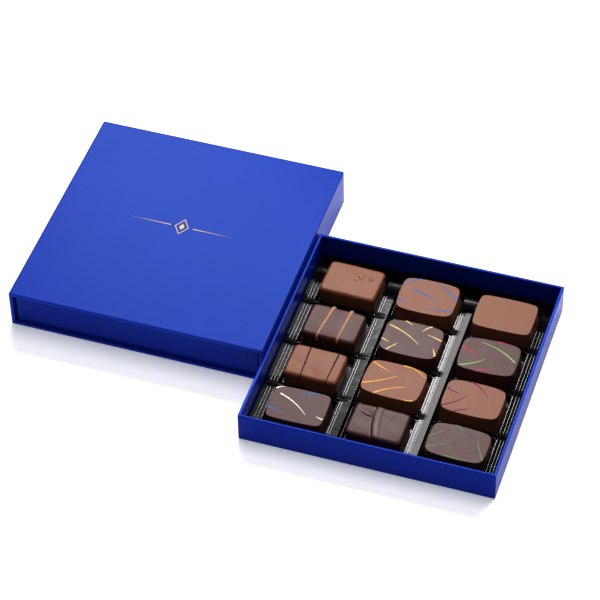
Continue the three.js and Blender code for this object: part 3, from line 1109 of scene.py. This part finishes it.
@dataclass
class Insert:
    """The formed insert: pockets, dividers with ribs and ribs along both sides, in millimetres."""

    clearance: float = 0.3
    corner: float = 6.0
    ledge: float = 6.25
    pocket_floor: float = 2.5
    pocket_width: float = 37.8
    pocket_depth: float = 30.8
    pocket_corner: float = 3.0
    column_pitch: float = 47.2
    row_pitch: float = 34.8
    rows_centre: float = -1.6
    divider: float = 23.7
    divider_width: float = 7.0
    strip: float = 7.5
    strip_edge: tuple[float, float] = (-0.35, 0.2)
    strip_end: tuple[float, float] = (-0.3, 0.5)
    shoulder_depth: float = 1.2
    shoulder_run: tuple[float, float, float] = (0.0, 1.1, 3.0)
    rib_front: float = -68.0
    rib_back: float = 52.0
    draw: float = 0.9
    fall: float = 0.13
    fall_reach: float = 11.5
    fall_start: float = 50.5
    left_lean: float = 0.03
    right_lean: float = 0.05
    saddle_reach: float = 2.6
    saddle_depth: float = 0.5
    saddle_slope: float = 0.24
    saddle_limit: float = 0.8
    notch_beside: float = 2.2
    notch_spread: float = 1.9
    notch_width: float = 1.1
    border_run: float = 0.5
    border_drop: float = 0.7
    strip_ribs: tuple[float, ...] = (-3.15, -1.75)
    side_ribs: tuple[float, ...] = (66.8, 68.9, 70.7)
    strip_rib: Rib = Rib("strip_ribs", 0.7, 40, 0.55, -0.8)
    side_rib: Rib = Rib("side_ribs", 0.5, 24, 0.3, 0.5)
    matt_from: float = -1.0
    matt_blend: float = 0.2
    matt_above: float = 0.9
    plastic: bpy.types.Material | None = None
    rib_plastic: bpy.types.Material | None = None

    COARSE = 2.4
    FINE = (-1.2, 1.2, 13)
    RIM_TICKS = (0.12, 0.25, 0.38, 0.5, 0.62)
    LEAST_GAP = 0.09
    FLOOR_GAP = 0.02
    RIB_STEP = 0.75
    RIB_END = 2.5

    def pocket_centre(self, row: int, column: int) -> tuple[float, float]:
        """The middle of a pocket from the tray's middle, rows counted from the back."""
        return (column - 2) * self.column_pitch, self.rows_centre + (2.5 - row) * self.row_pitch

    def row_edges(self) -> list[float]:
        """Where one row of pockets ends and the next begins."""
        return [self.pocket_centre(row, 2)[1] - self.row_pitch / 2 for row in (1, 2, 3)]

    def inside(self, x: Points, y: Points, half_x: float, half_y: float, radius: float) -> Points:
        """Distance to a rounded rectangle's edge, negative inside it."""
        dx = np.abs(x) - half_x + radius
        dy = np.abs(y) - half_y + radius
        outside = np.hypot(np.maximum(dx, 0), np.maximum(dy, 0))
        return outside + np.minimum(np.maximum(dx, dy), 0) - radius

    def ledge_level(self, x: Points) -> Points:
        """The ledge's height: it rises a little to the left wall and falls a little to the right one."""
        edge = self.column_pitch + self.pocket_width / 2
        rise = self.left_lean * np.maximum(-x - edge, 0)
        return self.ledge + rise - self.right_lean * np.maximum(x - edge, 0)

    def height(self, x: Points, y: Points, half: Points) -> Points:
        """The sheet's upper surface above the tray's underside."""
        level = self.ledge_level(x) - self.fall * np.clip(y - self.fall_start, 0, self.fall_reach)
        for side in (-1, 1):
            across = x - side * self.divider
            off = np.abs(across) - self.divider_width / 2
            ends = np.maximum(y - self.rib_back, self.rib_front - y)
            shoulder = self.divider_width / 2 + np.array(self.shoulder_run)
            level = level - np.interp(across, shoulder, [0.0, self.shoulder_depth, 0.0])
            rise = (1 - smooth_step(off, *self.strip_edge)) * (1 - smooth_step(ends, *self.strip_end))
            level = np.maximum(level, self.ledge + rise * (self.strip - self.ledge) - (1 - rise))
        for edge in self.row_edges():
            low = level < self.ledge + self.saddle_limit
            between = np.exp(-(((y - edge) / self.saddle_reach) ** 4)) * low
            level = level - between * (self.saddle_depth + self.saddle_slope * (y - edge))
            dip = bump_along(y - edge, self.notch_width, self.notch_width)
            for side in (-1, 1):
                across = x - side * self.divider + self.notch_beside
                level = level - dip * np.exp(-((across / self.notch_spread) ** 2))
        half_x, half_y = self.pocket_width / 2, self.pocket_depth / 2
        for row in (1, 2, 3, 4):
            for column in (1, 2, 3):
                px, py = self.pocket_centre(row, column)
                gap = self.inside(x - px, y - py, half_x, half_y, self.pocket_corner)
                up = smooth_step(gap, -self.draw, 0.05)
                level = self.pocket_floor + up * (level - self.pocket_floor)
        border = -self.inside(x, y, half[0], half[1], self.corner)
        return level - self.border_drop * (1 - smooth_step(border, 0.0, self.border_run))

    def ticks(self, half: float, features: Iterable[float]) -> Points:
        """Grid lines along one axis: coarse ones, with fine ones about every feature."""
        marks = list(np.arange(-half, half, self.COARSE)) + [half]
        for place in features:
            marks += list(place + np.linspace(*self.FINE))
        rim = np.array(self.RIM_TICKS)
        marks += list(half - rim) + list(rim - half)
        marks = np.unique(np.round(marks, 3))
        marks = marks[(marks >= -half) & (marks <= half)]
        keep = np.concatenate([[True], np.diff(marks) > self.LEAST_GAP])
        return marks[keep]

    def build(self, tray: Tray) -> bpy.types.Object:
        """Makes the sheet as a closed body that stands on the tray's floor."""
        half = tray.half - tray.wall - self.clearance
        columns = [self.pocket_centre(1, column)[0] for column in (1, 2, 3)]
        rows = [self.pocket_centre(row, 1)[1] for row in (1, 2, 3, 4)]
        x_features = [c + s * self.pocket_width / 2 for c in columns for s in (-1, 1)]
        x_features += [s * self.divider + e * self.divider_width / 2 for s in (-1, 1) for e in (-1, 1)]
        y_features = [r + s * self.pocket_depth / 2 for r in rows for s in (-1, 1)] + self.row_edges()
        xs, ys = self.ticks(half[0], x_features), self.ticks(half[1], y_features)
        x, y = np.meshgrid(xs, ys, indexing="ij")
        outside = self.inside(x, y, half[0], half[1], self.corner) > 1e-6
        reach = half - self.corner
        over = np.hypot(np.abs(x) - reach[0], np.abs(y) - reach[1])
        pull = np.where(outside, self.corner / np.maximum(over, 1e-6), 1.0)
        x = np.where(outside, np.sign(x) * (reach[0] + (np.abs(x) - reach[0]) * pull), x)
        y = np.where(outside, np.sign(y) * (reach[1] + (np.abs(y) - reach[1]) * pull), y)
        level = self.height(x, y, half)
        number = np.arange(x.size).reshape(x.shape)
        corners = [number[:-1, :-1], number[1:, :-1], number[1:, 1:], number[:-1, 1:]]
        cells = np.stack([corner.ravel() for corner in corners], 1)
        cells = cells[~outside.ravel()[cells].all(1)]
        matt = self.matting(x, y) * (level > self.ledge + self.matt_above)
        top = np.column_stack([x.ravel(), y.ravel(), level.ravel()])
        under = np.column_stack([x.ravel(), y.ravel(), np.full(x.size, tray.floor + self.FLOOR_GAP)])
        edges = np.concatenate([cells[:, [i, (i + 1) % 4]] for i in range(4)])
        seen = {tuple(edge) for edge in edges.tolist()}
        rim = np.array([edge for edge in edges.tolist() if (edge[1], edge[0]) not in seen])
        below = x.size
        walls = np.stack([rim[:, 1], rim[:, 0], rim[:, 0] + below, rim[:, 1] + below], 1)
        faces = np.concatenate([cells, cells[:, ::-1] + below, walls])
        used, faces = np.unique(faces, return_inverse=True)
        vertices = np.vstack([top, under])[used] + tray.centre
        matts = np.concatenate([matt.ravel(), np.zeros(x.size)])[used]
        cells = faces.reshape(-1, 4).tolist()
        made = make_object("formed_sheet", vertices * MM, cells, [self.plastic], {"matt": matts})
        return finish_piece(made, "formed_plastic", "insert")

    def matting(self, x: Points, y: Points) -> Points:
        """How matt each divider's strip is: the right one fully, the left one less and in patches."""
        patches = Ripple(5, 0.1, 5.0)(x, y)
        base, slope, share, most = 0.03, 0.0004, 0.4, 0.2
        depth = np.where(x > 0, 1.0, np.clip(base + slope * y + share * patches, 0.0, most))
        across = np.where(x > 0, x - self.divider, x + self.divider)
        return depth * smooth_step(across, self.matt_from - self.matt_blend, self.matt_from + self.matt_blend)

    def rib_path(self, x: float, level: float, tray: Tray, bend: float) -> Points:
        """A rib's middle line, which swerves and dips where one row of pockets ends."""
        y = np.arange(self.rib_front, self.rib_back + 0.1, self.RIB_STEP)
        swerve = sum(bump_along(y - edge, 1.3, 0.9) for edge in self.row_edges())
        rise = smooth_step(y, self.rib_front, self.rib_front + self.RIB_END)
        ends = rise * (1 - smooth_step(y, self.rib_back - self.RIB_END, self.rib_back))
        dip, sink = 1.1, 0.9
        z = level - dip * swerve - sink * (1 - ends)
        return np.stack([x + bend * swerve, y, z], 1) + tray.centre

    def build_ribs(self, tray: Tray, strands: StrandTree) -> None:
        """Grows the ribs on the dividers and along both sides."""
        sides = (-1, 1)
        on_strips = [(side * self.divider + place, self.strip) for side in sides for place in self.strip_ribs]
        places = [side * place for side in sides for place in self.side_ribs]
        on_sides = [(x, float(self.ledge_level(np.array(x)))) for x in places]
        shared = {"Taper": 0.0, "Uneven": 0.0, "Flatness": 1.0, "Level": 0.0, "Material": self.rib_plastic}
        for rib, feet in ((self.strip_rib, on_strips), (self.side_rib, on_sides)):
            lines = [self.rib_path(x, level - rib.sunk, tray, rib.bend) * MM for x, level in feet]
            values = {**shared, "Radius": rib.radius * MM, "Sides": rib.sides}
            finish_piece(grow(rib.name, strands, lines, values), "formed_plastic")


@dataclass(frozen=True)
class Workshop:
    """What the pralines are made with: where they lie, the trees that decorate them and the finishes."""

    tray: Tray
    insert: Insert
    strands: StrandTree
    grains: GrainTree
    finishes: dict


@dataclass(frozen=True)
class Softbox:
    """A rectangular white light. Places and sizes in metres, power in watts."""

    name: str
    place: tuple[float, float, float]
    aim: tuple[float, float, float]
    size: tuple[float, float]
    power: float

    def build(self) -> None:
        """Hangs the light so that it faces its aim."""
        data = bpy.data.lights.new(self.name, "AREA")
        data.shape = "RECTANGLE"
        data.size, data.size_y = self.size
        data.energy = self.power
        lamp = add_object(self.name, data)
        lamp.location = self.place
        facing = Vector(self.aim) - Vector(self.place)
        lamp.rotation_euler = facing.to_track_quat("-Z", "Y").to_euler()


MIDDLE = (0.0, 0.0, 0.0)
TRAY_SIDE = (0.08, 0.0, 0.0)
SLEEVE_SIDE = (-0.08, 0.0, 0.0)
LIGHTS = (
    Softbox("back_softbox", (0.43, 0.93, 1.0), TRAY_SIDE, (0.46, 0.36), 13.0),
    Softbox("top_softbox", (0.0, 0.3, 1.5), MIDDLE, (1.4, 0.9), 12.0),
    Softbox("strip_light", (-0.13, 0.82, 1.0), TRAY_SIDE, (0.08, 0.2), 3.6),
    Softbox("front_fill", (0.1, -0.7, 1.1), TRAY_SIDE, (0.8, 0.5), 1.6),
    Softbox("veil_light", (-0.51, 1.0, 1.0), SLEEVE_SIDE, (0.4, 0.5), 7.4),
)


@dataclass
class Studio:
    """Floor, lights and the camera at the photo's viewing angle. Places in metres, angles in degrees."""

    azimuth: float = 19.0
    elevation: float = 46.0
    roll: float = -1.3
    distance: float = 1.626
    lens: float = 164.0
    aim: tuple[float, float, float] = (0.006, 0.004, 0.010)
    reach: float = 3.0
    floor_gap: float = 0.00002
    sky: Colour = (0.93, 0.95, 1.0)
    sky_strength: float = 0.2
    gamma: float = 0.75

    def build_floor(self) -> None:
        """A large flat sweep under everything."""
        mesh = bpy.data.meshes.new("floor")
        ground = CAD_BOX[0][2] - self.floor_gap
        sides = ((-1, -1), (1, -1), (1, 1), (-1, 1))
        corners = [(x * self.reach, y * self.reach, ground) for x, y in sides]
        mesh.from_pydata(corners, [], [(0, 1, 2, 3)])
        mesh.materials.append(FloorPaint().build())
        floor = add_object("floor", mesh)

    def build_camera(self) -> None:
        """The camera, turned about its own axis by the photo's slight roll."""
        data = bpy.data.cameras.new("camera")
        data.lens = self.lens
        data.sensor_width = 36.0
        data.clip_end = 20.0
        a, e = math.radians(self.azimuth), math.radians(self.elevation)
        away = Vector((math.sin(a) * math.cos(e), -math.cos(a) * math.cos(e), math.sin(e)))
        camera = add_object("camera", data)
        turn = (-away).to_track_quat("-Z", "Y").to_matrix().to_4x4()
        roll = Matrix.Rotation(math.radians(self.roll), 4, "Z")
        camera.matrix_world = Matrix.Translation(Vector(self.aim) + away * self.distance) @ turn @ roll
        bpy.context.scene.camera = camera

    def build(self) -> None:
        """Builds the studio."""
        self.build_camera()
        self.build_floor()
        world = bpy.data.worlds.new("studio")
        world.use_nodes = True
        sky = world.node_tree.nodes["Background"].inputs
        sky["Color"].default_value = (*self.sky, 1.0)
        sky["Strength"].default_value = self.sky_strength
        scene = bpy.context.scene
        scene.world = world
        scene.view_settings.view_transform = "Standard"
        scene.view_settings.gamma = self.gamma
        for light in LIGHTS:
            light.build()


def brush(colour: Butter, *arcs: tuple) -> tuple[Streak, ...]:
    """Streaks of one colour, each given by its start, its end and, where it curves, its bow."""
    return tuple(Streak(colour, *arc) for arc in arcs)


PRALINES = [
    Praline(
        1, 1, Form.COATED, Chocolate.MILK, 34.8, 26.0, -0.2, 0.4, -1.6,
        grains=(
            (0.2, 0.3), (0.27, 0.18), (0.13, 0.08), (0.3, 0.36),
            (0.24, 0.27), (0.56, 0.34), (0.63, 0.27),
        ),
    ),
    Praline(
        1, 2, Form.MOULDED, Chocolate.MILK, 35.0, 27.6, -0.3, 0.0, 0.8,
        streaks=brush(
            Butter.BLUE,
            ((-0.95, 0.5), (-0.45, 0.97), 0.04),
            ((-0.6, 0.25), (0.35, -0.2), 0.07),
            ((0.1, 0.95), (1.0, 0.1), 0.05),
            ((-0.97, -0.45), (-0.6, -0.5), 0.03),
            ((0.1, -0.75), (0.95, -0.6), 0.05),
        ),
    ),
    Praline(1, 3, Form.PLAIN, Chocolate.MILK, 35.6, 26.6, 0.0, -0.6, 0.2),
    Praline(
        2, 1, Form.COATED, Chocolate.DARK, 33.6, 25.4, -0.2, -1.6, -1.4,
        lines=(
            Line(-0.22, -0.38, 2.8, 4.8, Butter.CARAMEL),
            Line(0.44, 0.36, 2.8, 3.6, Butter.CARAMEL),
        ),
    ),
    Praline(
        2, 2, Form.MOULDED, Chocolate.DARK, 34.8, 27.0, 0.2, -0.9, -0.4,
        streaks=brush(
            Butter.YELLOW,
            ((-0.9, 0.55), (0.3, -0.25), 0.06),
            ((-0.45, 1.0), (-0.15, 0.8), 0.02),
            ((0.55, 1.0), (0.25, 0.55), -0.09),
            ((0.45, 0.45), (1.0, 0.25), 0.02),
            ((-1.0, -0.3), (-0.7, -0.45)),
            ((-0.4, -0.4), (-0.7, -0.9)),
            ((0.8, -0.25), (1.0, -0.75), -0.02),
        ),
    ),
    Praline(
        2, 3, Form.MOULDED, Chocolate.DARK, 34.8, 26.6, -0.3, -1.0, 1.1,
        streaks=brush(
            Butter.GREEN,
            ((-0.4, 0.75), (0.9, -0.05), 0.075),
            ((-0.97, -0.85), (-0.1, -0.2), -0.065),
        ) + brush(
            Butter.RED,
            ((-1.0, 0.3), (-0.4, -0.05), 0.01),
            ((0.15, 1.1), (0.5, 0.92), 0.02),
            ((-0.3, -1.0), (0.25, -0.7), 0.04),
        ),
    ),
    Praline(
        3, 1, Form.COATED, Chocolate.MILK, 32.8, 24.8, -0.6, -0.7, -1.1,
        lines=(Line(-0.4, -0.32, 1.0, 3.4, Butter.COCOA), Line(0.66, 0.62, 1.0, 3.6, Butter.COCOA)),
    ),
    Praline(
        3, 2, Form.MOULDED, Chocolate.MILK, 35.4, 26.8, -0.4, -0.6, -2.2,
        streaks=brush(
            Butter.AMBER,
            ((-1.0, 0.85), (-0.25, 0.45), -0.035),
            ((-0.97, -0.55), (0.05, 0.3), -0.04),
            ((-0.5, -1.0), (0.45, -0.2), 0.06),
            ((0.1, 1.05), (0.95, 0.55), 0.08),
            ((0.5, -0.9), (0.92, -0.9), -0.08),
        ),
    ),
    Praline(
        3, 3, Form.MOULDED, Chocolate.MILK, 34.8, 25.6, 0.0, -1.0, -0.6,
        streaks=brush(
            Butter.MAGENTA,
            ((-0.95, 0.35), (-0.5, 0.15), -0.06),
            ((-0.45, 1.1), (0.4, 0.35), 0.07),
            ((-0.97, -0.75), (-0.25, 0.1), -0.07),
            ((-0.55, -1.0), (0.0, -0.6), 0.035),
            ((0.75, 1.0), (0.95, 0.88)),
        ),
    ),
    Praline(
        4, 1, Form.PLAIN, Chocolate.DARK, 34.0, 25.6, 0.2, -0.6, 0.8,
        streaks=brush(
            Butter.WHITE,
            ((-0.75, 0.5), (0.35, -0.45), 0.065),
            ((-0.95, 0.75), (-0.7, 0.95), 0.07),
            ((0.7, -0.4), (0.97, -0.5)),
        ) + brush(
            Butter.BLUE,
            ((-0.05, 0.6), (0.5, 0.95), 0.07),
            ((-1.0, -0.4), (-0.4, -0.65), 0.04),
        ),
    ),
    Praline(4, 2, Form.COATED, Chocolate.DARK, 33.2, 24.6, 0.2, 0.9, -0.7, fold=Fold()),
    Praline(
        4, 3, Form.MOULDED, Chocolate.DARK, 35.0, 25.0, 0.6, -0.4, -1.4,
        streaks=brush(
            Butter.LEAF,
            ((-1.0, -0.05), (-0.6, 0.45), 0.0),
            ((-0.97, -0.7), (-0.3, -0.2), 0.02),
            ((-0.35, 1.1), (0.05, 0.6), 0.085),
            ((0.55, 0.5), (0.95, -0.65), -0.03),
            ((-0.3, -0.9), (0.7, -0.85), -0.045),
        ),
    ),
]


def main() -> None:
    """Builds the studio and the box's sub-assemblies in order, and reports each piece."""
    logging.basicConfig(level=logging.INFO, format="%(name)s %(message)s")
    Studio().build()
    paper = WrappedPaper().build()
    Sleeve(paper=paper, foil=Foil().build()).build()
    tray = Tray(paper=paper)
    tray.build()
    strands = StrandTree()
    ribs = FormedPlastic("rib_plastic", polished=0.12, shine=0.5, waviness=0.02)
    insert = Insert(plastic=FormedPlastic().build(), rib_plastic=ribs.build())
    insert.build(tray)
    insert.build_ribs(tray, strands)
    grains = GrainTree()
    finishes = {kind: kind.value.build() for kind in Chocolate}
    finishes |= {colour: colour.build() for colour in Butter}
    finishes[Salt] = Salt().build()
    shop = Workshop(tray, insert, strands, grains, finishes)
    for praline in PRALINES:
        praline.build(shop)
        praline.decorate(shop)


if __name__ == "__main__":
    main()
